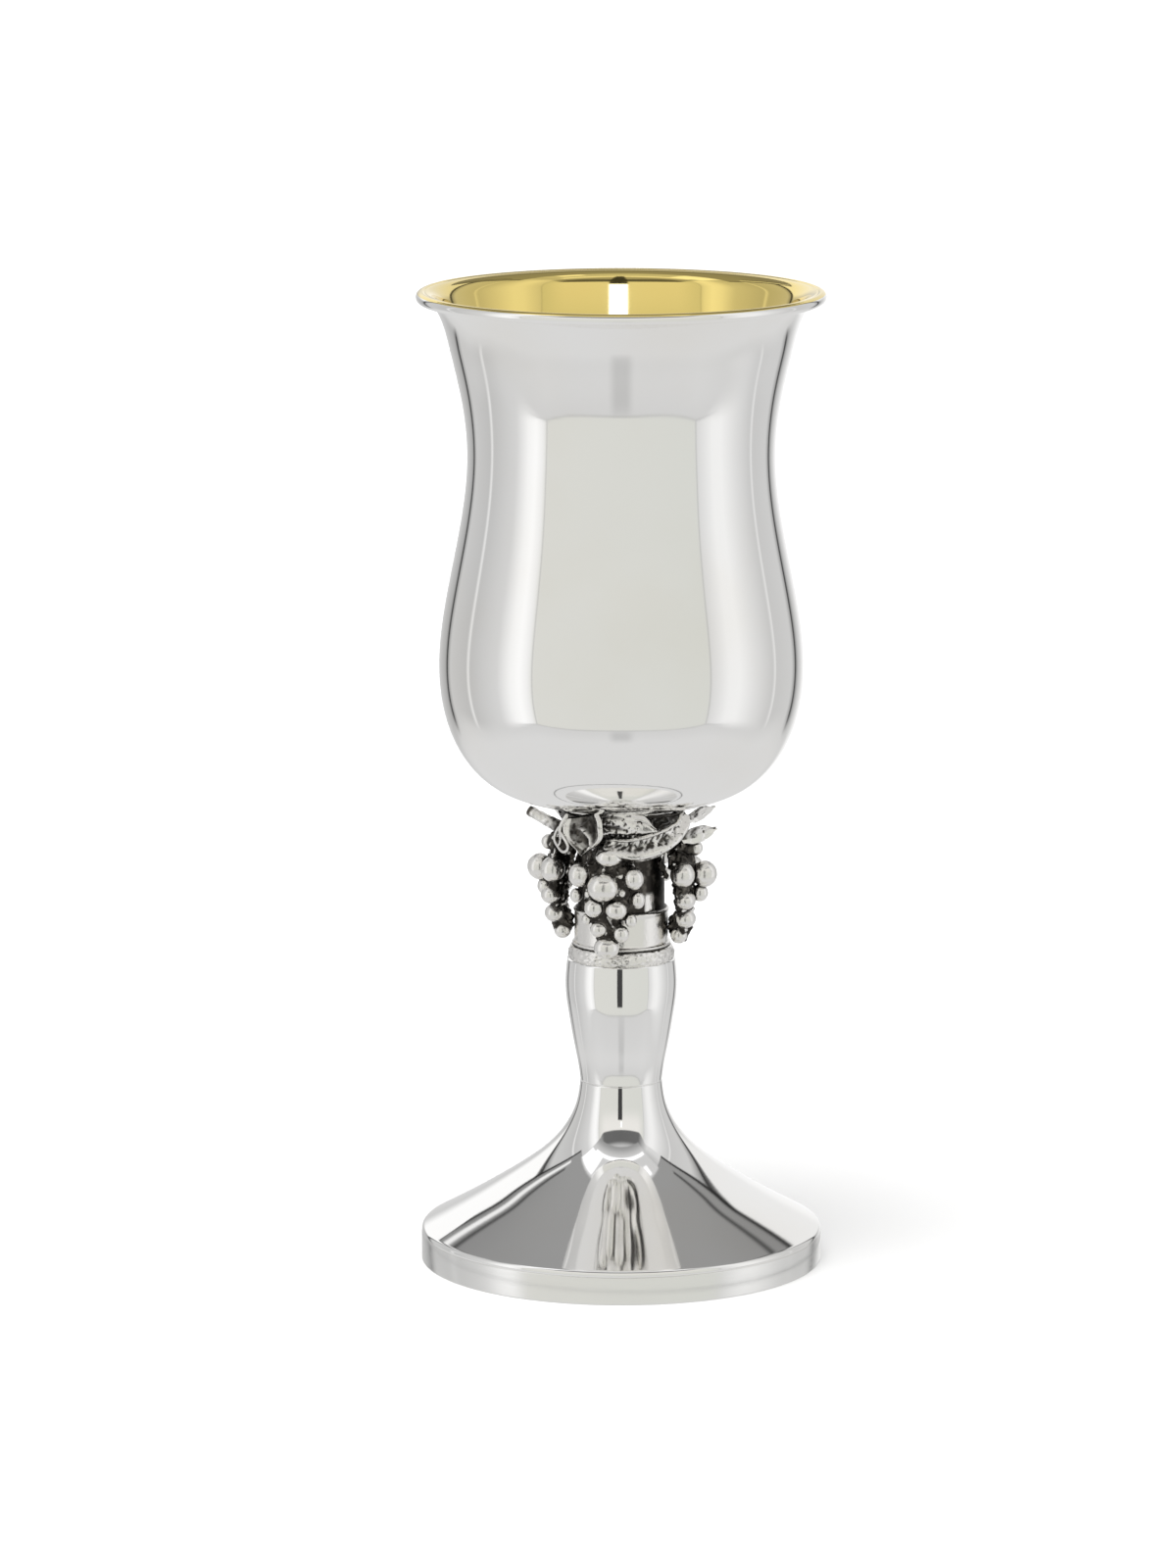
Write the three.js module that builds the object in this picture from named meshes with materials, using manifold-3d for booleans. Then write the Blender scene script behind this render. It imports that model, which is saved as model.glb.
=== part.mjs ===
// A silver communion chalice: a spun tulip bowl with a gilt inside, a knot of cast grapes and
// vine leaves round a turned core, a baluster stem and a trumpet foot. One tie rod holds it all.
// Millimetres, +Z up, origin at the middle of the foot's underside. Azimuth 0 is the front (-Y)
// and azimuths grow towards +X.
import * as THREE from 'three';
import { mergeVertices } from 'three/addons/utils/BufferGeometryUtils.js';
import Module from 'manifold-3d';

const wasm = await Module();
wasm.setup();

// Driving heights, from the table up.
const BAND_TOP = 5.4;
const WAIST = 35.5; // the foot's closed top, where the stem stands on it
const STEM_TOP = 59.7;
const KNOT_BOTTOM = 62.5; // the ring under the knot ends here and the core starts
const CORE_TOP = 89.4;
const BOWL_BOTTOM = 90.2;
const CHALICE_HEIGHT = 190;

// Driving radii.
const FOOT_RADIUS = 39.05;
const BEAD_OUTER_RADIUS = 39.35;
const WAIST_RADIUS = 7.98;
const RING_RADIUS = 10.3;

// Sheet thicknesses, fits and the tie.
const SHEET = 0.9;
const BOWL_WALL = 1;
const GAP = 0.3;
const BEAD_RADIUS = 1.1;
const ROD_RADIUS = 2;
const HOLE_RADIUS = ROD_RADIUS + GAP;
const SOCKET_RADIUS = 4;
const SOCKET_BOTTOM = 81;
const ROD_TOP = 87.5;
const WASHER = { radius: 5.4, thickness: 0.8 };
const NUT = { acrossCorners: 9, thickness: 3.5 };
const ROD_BELOW_NUT = 1.5;

// Facets round a turned piece.
const WIDE_FACETS = 40;
const NARROW_FACETS = 24;
const SMALL_FACETS = 16;

const FINISH = {
  silver: new THREE.MeshStandardMaterial({ color: 0xd6d6d2, roughness: 0.12, metalness: 1 }),
  oxidised: new THREE.MeshStandardMaterial({ color: 0x8f8c86, roughness: 0.38, metalness: 1 }),
  steel: new THREE.MeshStandardMaterial({ color: 0x9a9ca0, roughness: 0.35, metalness: 1 }),
};

const chalice = new THREE.Group();

function add(name, geometry, finish) {
  const mesh = new THREE.Mesh(geometry, finish);
  mesh.name = name;
  chalice.add(mesh);
}

// ---- Turned pieces -------------------------------------------------------------------------

function point(radius, height) {
  return new THREE.Vector2(radius, height);
}

// A smooth outline through a few points, given as [radius, height] pairs.
function smooth(pairs, divisions) {
  return new THREE.SplineCurve(pairs.map(([radius, height]) => point(radius, height)))
    .getPoints(divisions);
}

// The same outline moved sideways by a wall's thickness, to its left along the outline.
function offset(outline, distance) {
  return outline.map((here, i) => {
    const before = outline[Math.max(i - 1, 0)];
    const after = outline[Math.min(i + 1, outline.length - 1)];
    const along = after.clone().sub(before).normalize();
    return point(here.x - along.y * distance, here.y + along.x * distance);
  });
}

// Turns a closed outline round the Z axis. The outline runs anticlockwise, so faces point out.
function turned(outline, facets) {
  const signedArea = THREE.ShapeUtils.area(outline);
  const points = signedArea > 0 ? outline : [...outline].reverse();
  return new THREE.LatheGeometry(points, facets).rotateX(Math.PI / 2);
}

// A ring with a rectangular section.
function ring(inner, outer, bottom, top, facets) {
  const corners = [point(inner, bottom), point(outer, bottom), point(outer, top), point(inner, top)];
  return turned([...corners, corners[0]], facets);
}

// ---- Bowl ----------------------------------------------------------------------------------

const BOWL_FLAT = point(11, BOWL_BOTTOM); // edge of the flat that stands on the seat ring
const BOWL_SIDE = [
  [18, 91.35], [24.5, 93.9], [30.3, 99.45], [34.3, 108.9], [35.18, 118.2],
  [33.7, 130.9], [30.9, 145.4], [29.62, 158.4], [30.7, 169.2], [32.9, 178.9], [35.2, 186],
];
const LIP_OUTSIDE = [point(35.9, 187.1), point(37, 188.2)];
const LIP_INSIDE = [point(36.8, 189.4), point(35.5, 189.3), point(34.95, 188.6)];

function bowl() {
  const side = smooth([[BOWL_FLAT.x, BOWL_FLAT.y], ...BOWL_SIDE], 14);
  const inside = offset(side, BOWL_WALL).reverse();
  const outline = [
    point(0, BOWL_BOTTOM),
    ...side,
    ...LIP_OUTSIDE,
    ...LIP_INSIDE,
    ...inside.slice(1),
    point(0, BOWL_BOTTOM + BOWL_WALL),
  ];
  return turned(outline, WIDE_FACETS);
}

// The round wire along the lip.
function rimBead() {
  const middle = point(BEAD_OUTER_RADIUS - BEAD_RADIUS, CHALICE_HEIGHT - BEAD_RADIUS);
  const section = new THREE.Path().absarc(middle.x, middle.y, BEAD_RADIUS, 0, 2 * Math.PI);
  const outline = section.getPoints(6);
  outline[outline.length - 1] = outline[0];
  return turned(outline, WIDE_FACETS);
}

// The threaded socket soldered under the bowl, with a blind hole for the tie rod.
function cupSocket() {
  const holeTop = BOWL_BOTTOM - 1;
  return turned([
    point(0, BOWL_BOTTOM),
    point(SOCKET_RADIUS, BOWL_BOTTOM),
    point(SOCKET_RADIUS, SOCKET_BOTTOM),
    point(HOLE_RADIUS, SOCKET_BOTTOM),
    point(HOLE_RADIUS, holeTop),
    point(0, holeTop),
  ], SMALL_FACETS);
}

// ---- Knot ----------------------------------------------------------------------------------

const SOCKET_HOLE = SOCKET_RADIUS + GAP;
const DRUM_RADIUS = 9.1;
const DRUM_FLARE = 0.45; // how far the drum's lower edge stands out
const DRUM_TOP = 69.2;
const NECK_RADIUS = 8.4;
const NECK_BOTTOM = 70.2;
const CORE_WALL = 1.1;
const COLLAR = { inner: NECK_RADIUS + GAP, outer: 11.6, bottom: 84.6, top: CORE_TOP - GAP };

// A turned spool, hollow, closed at both ends round its holes: a polished drum with a small
// step on top, and a narrower neck above.
function knotCore() {
  const bore = NECK_RADIUS - CORE_WALL;
  const outline = [
    point(HOLE_RADIUS, KNOT_BOTTOM),
    point(DRUM_RADIUS + DRUM_FLARE, KNOT_BOTTOM),
    point(DRUM_RADIUS + DRUM_FLARE, KNOT_BOTTOM + 0.5),
    point(DRUM_RADIUS, KNOT_BOTTOM + 0.9),
    point(DRUM_RADIUS, DRUM_TOP),
    point(DRUM_RADIUS + 0.15, DRUM_TOP + 0.3),
    point(DRUM_RADIUS - 0.1, DRUM_TOP + 0.7),
    point(NECK_RADIUS, NECK_BOTTOM),
    point(NECK_RADIUS, CORE_TOP),
    point(SOCKET_HOLE, CORE_TOP),
    point(SOCKET_HOLE, CORE_TOP - CORE_WALL),
    point(bore, CORE_TOP - CORE_WALL),
    point(bore, KNOT_BOTTOM + CORE_WALL),
    point(HOLE_RADIUS, KNOT_BOTTOM + CORE_WALL),
  ];
  return turned([...outline, outline[0]], NARROW_FACETS);
}

// The worn, uneven ring between the knot and the stem.
function knotBaseRing() {
  const outline = [
    point(HOLE_RADIUS, STEM_TOP),
    point(RING_RADIUS - 0.15, STEM_TOP),
    point(RING_RADIUS, STEM_TOP + 0.9),
    point(RING_RADIUS - 0.1, STEM_TOP + 1.9),
    point(RING_RADIUS - 0.5, KNOT_BOTTOM),
    point(HOLE_RADIUS, KNOT_BOTTOM),
  ];
  return turned([...outline, outline[0]], NARROW_FACETS);
}

function toRadians(degrees) {
  return degrees * Math.PI / 180;
}

// A place on the knot: azimuth in degrees, height, and distance out from the axis.
function place(azimuth, height, out) {
  const angle = toRadians(azimuth);
  return new THREE.Vector3(out * Math.sin(angle), -out * Math.cos(angle), height);
}

// A vine leaf: a thin plate that follows its midrib from root to tip, is widest near its middle
// and lifts its edges outward by cup. Root, middle and tip are [azimuth, height, out].
function vineLeaf({ root, middle, tip, width, cup, thickness = 0.8 }) {
  const midrib = new THREE.QuadraticBezierCurve3(
    new THREE.Vector3(...root), new THREE.Vector3(...middle), new THREE.Vector3(...tip));
  const plate = new THREE.BoxGeometry(1, 1, 1, 4, 6, 1);
  const corner = plate.attributes.position;
  for (let i = 0; i < corner.count; i += 1) {
    const along = corner.getY(i) + 0.5;
    const side = 2 * corner.getX(i);
    const spine = midrib.getPoint(along);
    const heading = midrib.getTangent(along);
    const millimetresPerDegree = toRadians(spine.z);
    const run = heading.x * millimetresPerDegree;
    const rise = heading.y;
    const slope = Math.hypot(run, rise);
    const halfWidth = width / 2 * (0.12 + 0.88 * Math.sin(Math.PI * (0.15 + 0.85 * along)));
    const acrossHeight = spine.y - side * halfWidth * run / slope;
    const acrossAzimuth = spine.x + side * halfWidth * rise / slope / millimetresPerDegree;
    const out = spine.z + cup * side * side + corner.getZ(i) * thickness;
    corner.setXYZ(i, ...place(acrossAzimuth, acrossHeight, out));
  }
  return closed(plate);
}

const HALF_TURN = 180;

function turnedHalfRound(leaf) {
  const move = ([azimuth, height, out]) => [azimuth + HALF_TURN, height, out];
  return { ...leaf, root: move(leaf.root), middle: move(leaf.middle), tip: move(leaf.tip) };
}

const HANGING_LEAF = {
  root: [-35, 89.7, 12.3], middle: [-32, 87, 13.6], tip: [-27, 83.4, 14.2], width: 8.2, cup: 0.7,
};
const FEATHER_LEAF = {
  root: [-11, 87.6, 12.4], middle: [6, 88.2, 13], tip: [27, 87.2, 15.2], width: 5, cup: 0,
};
const SICKLE_LEAF = {
  root: [-7, 85, 14.3], middle: [34, 80.2, 15.6], tip: [58, 88.6, 14.2], width: 4.2, cup: 0.4,
};
const VINE_LEAVES = {
  leaf_front_left: HANGING_LEAF,
  leaf_front_centre: FEATHER_LEAF,
  leaf_front_right: SICKLE_LEAF,
  leaf_right_lower: {
    root: [66, 84.6, 12.5], middle: [72, 85.2, 15.4], tip: [81, 85.8, 18], width: 3.4, cup: 0,
  },
  leaf_right_upper: {
    root: [88, 87.8, 12.2], middle: [92, 88.2, 14.6], tip: [95, 89.4, 17.6], width: 3, cup: 0,
  },
  leaf_back_right: turnedHalfRound(HANGING_LEAF),
  leaf_back_centre: turnedHalfRound(FEATHER_LEAF),
  leaf_back_left: turnedHalfRound(SICKLE_LEAF),
};

// A round bar along a smooth path of places.
function bar(places, radius, steps) {
  const path = new THREE.CatmullRomCurve3(places.map((where) => place(...where)));
  const section = new THREE.Shape().absarc(0, 0, radius, 0, 2 * Math.PI);
  const options = { steps, extrudePath: path, curveSegments: 4, bevelEnabled: false };
  return new THREE.ExtrudeGeometry(section, options);
}

const TWIG = [[-92, 85.2, 12.6], [-94, 86.6, 15], [-96, 88.2, 18]];
const TENDRIL = [
  [-57, 88.6, 12.3], [-62, 85.6, 13.2], [-56, 83.6, 14], [-50, 85, 14.4], [-55, 86.4, 14.6],
];

// ---- Grapes --------------------------------------------------------------------------------

// Grapes are [across, height, out, radius]: across is to the right as one faces the bunch.
const FRONT_GRAPES = [
  [0.7, 82.0, 13.4, 2.0], [-5.3, 78.2, 13.0, 2.0], [5.6, 77.7, 13.0, 2.0],
  [-0.4, 76.3, 14.6, 2.85], [-6.1, 74.1, 12.2, 1.2], [6.3, 73.5, 12.0, 1.4],
  [-2.6, 71.8, 13.8, 1.6], [2.2, 71.7, 13.9, 1.85], [4.8, 69.4, 12.6, 1.0],
  [-1.7, 67.7, 13.0, 1.5], [3.1, 66.7, 12.8, 1.35], [0.3, 63.4, 13.0, 2.2],
];
const SIDE_GRAPES = [
  [0.5, 81.9, 14.6, 1.4], [-3.3, 77.2, 12.9, 2.4], [0.6, 76.9, 16.4, 2.2],
  [4.2, 77.6, 13.1, 2.1], [1.0, 72.6, 15.4, 1.4], [-2.6, 71.7, 13.2, 1.7],
  [4.4, 72.9, 12.4, 1.5], [-1.0, 67.6, 12.7, 1.9], [2.6, 68.4, 12.4, 1.3],
  [-0.4, 64.4, 12.1, 1.6],
];
const BUNCHES = {
  grapes_front: { azimuth: -13, grapes: FRONT_GRAPES },
  grapes_right: { azimuth: 77, grapes: SIDE_GRAPES },
  grapes_back: { azimuth: 167, grapes: FRONT_GRAPES },
  grapes_left: { azimuth: -103, grapes: mirrored(SIDE_GRAPES) },
};

function mirrored(grapes) {
  return grapes.map(([across, ...rest]) => [-across, ...rest]);
}

// Leaves only the positions, joined where they meet, without the slivers at a lathe's poles.
function closed(geometry) {
  geometry.deleteAttribute('normal');
  geometry.deleteAttribute('uv');
  return mergeVertices(geometry, 1e-4);
}

function toSolid(geometry) {
  const merged = closed(geometry);
  const corners = Array.from(merged.index.array);
  const whole = [];
  for (let i = 0; i < corners.length; i += 3) {
    const [a, b, c] = corners.slice(i, i + 3);
    if (a !== b && b !== c && c !== a) whole.push(a, b, c);
  }
  return new wasm.Manifold(new wasm.Mesh({
    numProp: 3,
    vertProperties: new Float32Array(merged.attributes.position.array),
    triVerts: new Uint32Array(whole),
  }));
}

function toGeometry(solid) {
  const mesh = solid.getMesh();
  const geometry = new THREE.BufferGeometry();
  geometry.setAttribute('position', new THREE.BufferAttribute(mesh.vertProperties, 3));
  geometry.setIndex(new THREE.BufferAttribute(mesh.triVerts, 1));
  return geometry;
}

// The stalk behind a bunch, a flat inverted cone that every grape grows from.
function stalk() {
  const outline = [
    [0, 62.9], [1.5, 63.6], [2.6, 66.6], [4.2, 70], [5.4, 74], [5.4, 78], [3, 81.6], [0, 83],
  ];
  const flatness = 0.38;
  return turned(outline.map(([radius, height]) => point(radius, height)), 12)
    .scale(1, flatness, 1)
    .translate(0, -12.9, 0);
}

function grapeBunch({ azimuth, grapes }) {
  let bunch = toSolid(stalk());
  for (const [across, height, out, radius] of grapes) {
    const grape = new THREE.IcosahedronGeometry(radius, 1).translate(across, -out, height);
    bunch = bunch.add(toSolid(grape));
  }
  return toGeometry(bunch).rotateZ(toRadians(azimuth));
}

// ---- Stem and foot -------------------------------------------------------------------------

const STEM_TOP_RADIUS = 10.5;
const STEM_SIDE = [
  [WAIST_RADIUS, WAIST], [8.45, 39], [9.72, 45.7], [10.72, 52.2], [10.86, 55.2],
  [STEM_TOP_RADIUS, STEM_TOP],
];

// A hollow baluster, open at the bottom and closed round the tie rod's hole at the top.
function stem() {
  const side = smooth(STEM_SIDE, 10);
  const inside = offset(side, SHEET).reverse().slice(1);
  inside[inside.length - 1] = point(WAIST_RADIUS - SHEET, WAIST);
  const topInside = STEM_TOP - SHEET;
  const outline = [
    ...side,
    point(HOLE_RADIUS, STEM_TOP),
    point(HOLE_RADIUS, topInside),
    point(STEM_TOP_RADIUS - SHEET, topInside),
    ...inside,
  ];
  return turned([...outline, outline[0]], NARROW_FACETS);
}

// From the band, through a tight round shoulder and an almost straight flank, to the waist.
const FOOT_SIDE = [
  [FOOT_RADIUS - 0.05, BAND_TOP], [38.4, 6.7], [33, 9.7], [28.3, 12.45], [24.3, 14.95],
  [19.5, 18.1], [16.5, 20.3], [13.5, 23], [11, 26.1], [8.7, 31], [WAIST_RADIUS, WAIST],
];

// The trumpet foot: sheet silver, open below, closed round the tie rod's hole at the waist.
function foot() {
  const side = smooth(FOOT_SIDE, 20);
  const inside = offset(side, SHEET).reverse().slice(2);
  inside[inside.length - 1] = point(FOOT_RADIUS - SHEET - 0.1, BAND_TOP);
  const topInside = WAIST - SHEET;
  const outline = [
    ...side,
    point(HOLE_RADIUS, WAIST),
    point(HOLE_RADIUS, topInside),
    point(WAIST_RADIUS - SHEET, topInside),
    ...inside,
  ];
  return turned([...outline, outline[0]], WIDE_FACETS);
}

// ---- The tie under the foot ----------------------------------------------------------------

const WASHER_BOTTOM = WAIST - SHEET - WASHER.thickness;
const NUT_BOTTOM = WASHER_BOTTOM - NUT.thickness;

function tieRod() {
  const bottom = NUT_BOTTOM - ROD_BELOW_NUT;
  const length = ROD_TOP - bottom;
  return new THREE.CylinderGeometry(ROD_RADIUS, ROD_RADIUS, length, SMALL_FACETS)
    .rotateX(Math.PI / 2)
    .translate(0, 0, bottom + length / 2);
}

function tieNut() {
  const radius = NUT.acrossCorners / 2;
  const corners = [];
  for (let side = 0; side < 6; side += 1) {
    const angle = side * Math.PI / 3;
    corners.push(point(radius * Math.cos(angle), radius * Math.sin(angle)));
  }
  const hexagon = new THREE.Shape(corners);
  hexagon.holes.push(new THREE.Path().absarc(0, 0, HOLE_RADIUS, 0, 2 * Math.PI));
  const options = { depth: NUT.thickness, bevelEnabled: false, curveSegments: SMALL_FACETS };
  return new THREE.ExtrudeGeometry(hexagon, options).translate(0, 0, NUT_BOTTOM);
}

// ---- Assembly, from the top down -----------------------------------------------------------

add('cup_bowl', bowl(), FINISH.silver);
add('rim_bead', rimBead(), FINISH.silver);
add('cup_socket', cupSocket(), FINISH.silver);
add('cup_seat_ring', ring(SOCKET_HOLE, 11.6, CORE_TOP, BOWL_BOTTOM, NARROW_FACETS), FINISH.silver);
add('knot_core', knotCore(), FINISH.silver);
add('vine_collar', ring(COLLAR.inner, COLLAR.outer, COLLAR.bottom, COLLAR.top, NARROW_FACETS),
  FINISH.oxidised);
for (const [name, leaf] of Object.entries(VINE_LEAVES)) {
  add(name, vineLeaf(leaf), FINISH.oxidised);
}
add('vine_twig', bar(TWIG, 1, 4), FINISH.oxidised);
add('tendril_left', bar(TENDRIL, 0.45, 14), FINISH.oxidised);
add('tendril_right', bar(TENDRIL, 0.45, 14).rotateZ(Math.PI), FINISH.oxidised);
for (const [name, bunch] of Object.entries(BUNCHES)) {
  add(name, grapeBunch(bunch), FINISH.oxidised);
}
add('knot_base_ring', knotBaseRing(), FINISH.oxidised);
add('stem', stem(), FINISH.silver);
add('foot', foot(), FINISH.silver);
add('foot_band', ring(FOOT_RADIUS - SHEET, FOOT_RADIUS, 0, BAND_TOP, WIDE_FACETS), FINISH.silver);
add('tie_rod', tieRod(), FINISH.steel);
add('tie_washer', ring(HOLE_RADIUS, WASHER.radius, WASHER_BOTTOM, WAIST - SHEET, SMALL_FACETS),
  FINISH.steel);
add('tie_nut', tieNut(), FINISH.steel);

export default chalice;
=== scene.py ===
"""A silver communion chalice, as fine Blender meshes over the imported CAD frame.

Metres, +Z up, the front of the chalice towards -Y. Azimuths are in degrees, 0 at the front and
growing towards +X, as they are in the CAD.
"""

import math

import bpy
import numpy as np
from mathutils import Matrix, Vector, noise
from mathutils.bvhtree import BVHTree
from mathutils.kdtree import KDTree


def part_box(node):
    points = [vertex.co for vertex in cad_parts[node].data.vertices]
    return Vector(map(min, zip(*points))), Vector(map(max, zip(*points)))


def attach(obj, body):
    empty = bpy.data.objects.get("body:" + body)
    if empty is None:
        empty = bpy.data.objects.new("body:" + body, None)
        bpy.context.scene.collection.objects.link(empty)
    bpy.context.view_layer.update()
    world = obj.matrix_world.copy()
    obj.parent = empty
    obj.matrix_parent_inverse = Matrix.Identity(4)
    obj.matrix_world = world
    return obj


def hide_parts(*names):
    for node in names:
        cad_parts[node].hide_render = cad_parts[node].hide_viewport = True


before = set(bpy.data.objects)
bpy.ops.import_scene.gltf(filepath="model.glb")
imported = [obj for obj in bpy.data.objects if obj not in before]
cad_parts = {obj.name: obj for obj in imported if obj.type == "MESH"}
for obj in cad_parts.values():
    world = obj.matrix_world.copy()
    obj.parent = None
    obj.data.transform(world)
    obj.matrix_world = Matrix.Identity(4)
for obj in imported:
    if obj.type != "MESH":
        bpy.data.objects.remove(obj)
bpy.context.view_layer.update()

MM = 0.001
ROUND = 224  # facets round the large turned pieces


# ---- Node graphs ---------------------------------------------------------------------------


class Graph:
    """Adds nodes to a tree and links them, so that a material reads as a formula."""

    def __init__(self, tree):
        self.tree = tree
        tree.nodes.clear()

    def node(self, kind, inputs=None, **settings):
        made = self.tree.nodes.new(kind)
        for key, value in settings.items():
            setattr(made, key, value)
        for key, value in (inputs or {}).items():
            self.feed(made.inputs[key], value)
        return made

    def feed(self, socket, value):
        if isinstance(value, bpy.types.NodeSocket):
            self.tree.links.new(value, socket)
        else:
            socket.default_value = value

    def math(self, operation, *values):
        made = self.node("ShaderNodeMath", operation=operation)
        for socket, value in zip(made.inputs, values):
            self.feed(socket, value)
        return made.outputs[0]

    def times(self, first, second):
        return self.math("MULTIPLY", first, second)

    def less(self, first, second):
        return self.math("SUBTRACT", first, second)

    def step(self, value, low, high):
        """0 below low, 1 above high, smooth between them."""
        made = self.node(
            "ShaderNodeMapRange",
            {"Value": value, "From Min": low, "From Max": high},
            interpolation_type="SMOOTHSTEP",
        )
        return made.outputs["Result"]

    def window(self, value, low, high, soft):
        """1 between low and high, with soft edges."""
        rise = self.step(value, low - soft, low + soft)
        fall = self.step(value, high - soft, high + soft)
        return self.times(rise, self.less(1.0, fall))

    def near(self, value, place, reach):
        """1 at a place, falling to 0 a reach away from it."""
        return self.less(1.0, self.step(self.math("ABSOLUTE", self.less(value, place)), 0.0, reach))

    def mix(self, factor, first, second):
        made = self.node("ShaderNodeMix", data_type="RGBA")
        self.feed(made.inputs[0], factor)
        self.feed(made.inputs[6], first)
        self.feed(made.inputs[7], second)
        return made.outputs[2]

    def ramp(self, value, stops):
        """A colour ramp through (place from 0 to 1, colour) stops."""
        made = self.node("ShaderNodeValToRGB", {"Fac": value})
        elements = made.color_ramp.elements
        elements.remove(elements[1])
        elements[0].position, elements[0].color = stops[0]
        for place, colour in stops[1:]:
            elements.new(place).color = colour
        return made.outputs["Color"]

    def noise(self, scale, detail=4.0, stretch=(1, 1, 1)):
        where = self.node("ShaderNodeTexCoord").outputs["Object"]
        mapped = self.node("ShaderNodeMapping", {"Vector": where, "Scale": stretch})
        made = self.node(
            "ShaderNodeTexNoise",
            {"Vector": mapped.outputs[0], "Scale": scale, "Detail": detail},
        )
        return made.outputs["Fac"]


def screen(red, green=None, blue=None):
    """The light that a screen shows as this 0 to 255 colour."""
    if green is None:
        green = blue = red

    def linear(value):
        value = value / 255
        return value / 12.92 if value <= 0.04045 else ((value + 0.055) / 1.055) ** 2.4

    return (linear(red), linear(green), linear(blue), 1.0)


# ---- Materials -----------------------------------------------------------------------------

SILVER = (0.955, 0.95, 0.94, 1.0)
CAST_SILVER = (0.9, 0.885, 0.86, 1.0)
PATINA = (0.045, 0.041, 0.037, 1.0)
WORN_PATINA = (0.2, 0.185, 0.165, 1.0)
GOLD = (0.905, 0.735, 0.26, 1.0)
DEEP_GOLD = (0.89, 0.69, 0.225, 1.0)


def new_material(name):
    material = bpy.data.materials.new(name)
    material.use_nodes = True
    return material, Graph(material.node_tree)


def metal(name, base, roughness, height, height_scale):
    """A metal from sockets or numbers: its colour, its roughness and its surface relief."""
    material, graph = new_material(name)
    relief = graph.node(
        "ShaderNodeBump",
        {"Height": height(graph), "Strength": 1.0, "Distance": height_scale},
    )
    shader = graph.node(
        "ShaderNodeBsdfPrincipled",
        {
            "Base Color": base(graph),
            "Metallic": 1.0,
            "Roughness": roughness(graph),
            "Normal": relief.outputs[0],
        },
    )
    graph.node("ShaderNodeOutputMaterial", {"Surface": shader.outputs[0]})
    return material


def spread(graph, value, low, high):
    """A 0 to 1 value spread between two numbers."""
    made = graph.node("ShaderNodeMapRange", {"Value": value, "To Min": low, "To Max": high})
    return made.outputs["Result"]


def polished_silver():
    def base(graph):
        tarnish = graph.step(graph.noise(26, 5), 0.42, 0.75)
        return graph.mix(tarnish, SILVER, (0.93, 0.915, 0.885, 1.0))

    def roughness(graph):
        return spread(graph, graph.noise(60, 6), 0.025, 0.075)

    def height(graph):
        turning_lines = graph.times(graph.noise(330, 3, (0.3, 0.3, 9)), 0.2)
        return graph.math("ADD", graph.noise(35, 2), turning_lines)

    return metal("polished_silver", base, roughness, height, 0.004 * MM)


def brushed_silver():
    """The foot band: polished along its length, so its lines run round."""
    return metal(
        "brushed_silver",
        lambda graph: graph.mix(graph.noise(40, 4), SILVER, (0.9, 0.895, 0.875, 1.0)),
        lambda graph: spread(graph, graph.noise(90, 6, (1, 1, 14)), 0.12, 0.3),
        lambda graph: graph.noise(160, 6, (1, 1, 12)),
        0.01 * MM,
    )


def gilt():
    return metal(
        "gilt",
        lambda graph: graph.mix(graph.noise(45, 4), GOLD, DEEP_GOLD),
        lambda graph: spread(graph, graph.noise(80, 6), 0.03, 0.09),
        lambda graph: graph.noise(45, 3),
        0.005 * MM,
    )


def oxidised_silver():
    """Cast silver: the patina attribute says where the dark finish was left in."""

    def left_in(graph):
        return graph.node("ShaderNodeAttribute", attribute_name="patina").outputs["Fac"]

    def base(graph):
        broken = graph.math("ADD", left_in(graph), spread(graph, graph.noise(1300, 5), -0.25, 0.25))
        pits = graph.times(graph.step(graph.noise(1400, 1), 0.73, 0.79), 0.6)
        pits = graph.times(pits, graph.step(left_in(graph), 0.02, 0.05))
        broken = graph.math("ADD", broken, pits)
        worn = graph.mix(graph.step(graph.noise(600, 3), 0.45, 0.8), PATINA, WORN_PATINA)
        return graph.mix(graph.step(broken, 0.1, 0.9), CAST_SILVER, worn)

    def roughness(graph):
        return spread(graph, left_in(graph), 0.2, 0.42)

    def height(graph):
        return graph.noise(1400, 4)

    return metal("oxidised_silver", base, roughness, height, 0.05 * MM)


def plain_steel():
    return metal(
        "plain_steel",
        lambda graph: graph.mix(
            graph.noise(200, 5), (0.5, 0.5, 0.5, 1.0), (0.36, 0.35, 0.34, 1.0)),
        lambda graph: spread(graph, graph.noise(300, 5), 0.25, 0.45),
        lambda graph: graph.noise(500, 4),
        0.02 * MM,
    )


# ---- Outlines and turned pieces --------------------------------------------------------------


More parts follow.
